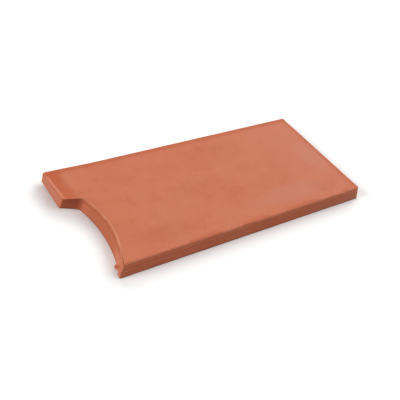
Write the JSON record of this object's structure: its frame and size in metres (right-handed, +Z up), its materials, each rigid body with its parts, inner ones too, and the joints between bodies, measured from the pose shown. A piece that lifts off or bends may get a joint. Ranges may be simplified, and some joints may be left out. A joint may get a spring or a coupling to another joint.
{
  "type": "clay roof tile",
  "caption": "Flat fired-clay roof tile, one end notched by a shallow arc beside a square lug, with softly rounded edges.",
  "frame": {"origin": "centre of the underside's outline box, on the surface that the tile lies on", "axes": "+X along the tile towards its plain end, -X towards the notched end, +Y towards the side with the lug, +Z up out of the top face"},
  "size_m": [0.3996, 0.1836, 0.018],
  "materials": {
    "fired_clay": "matt unglazed terracotta"
  },
  "bodies": {
    "root": {"notched_tile": "fired_clay"}
  },
  "joints": []
}
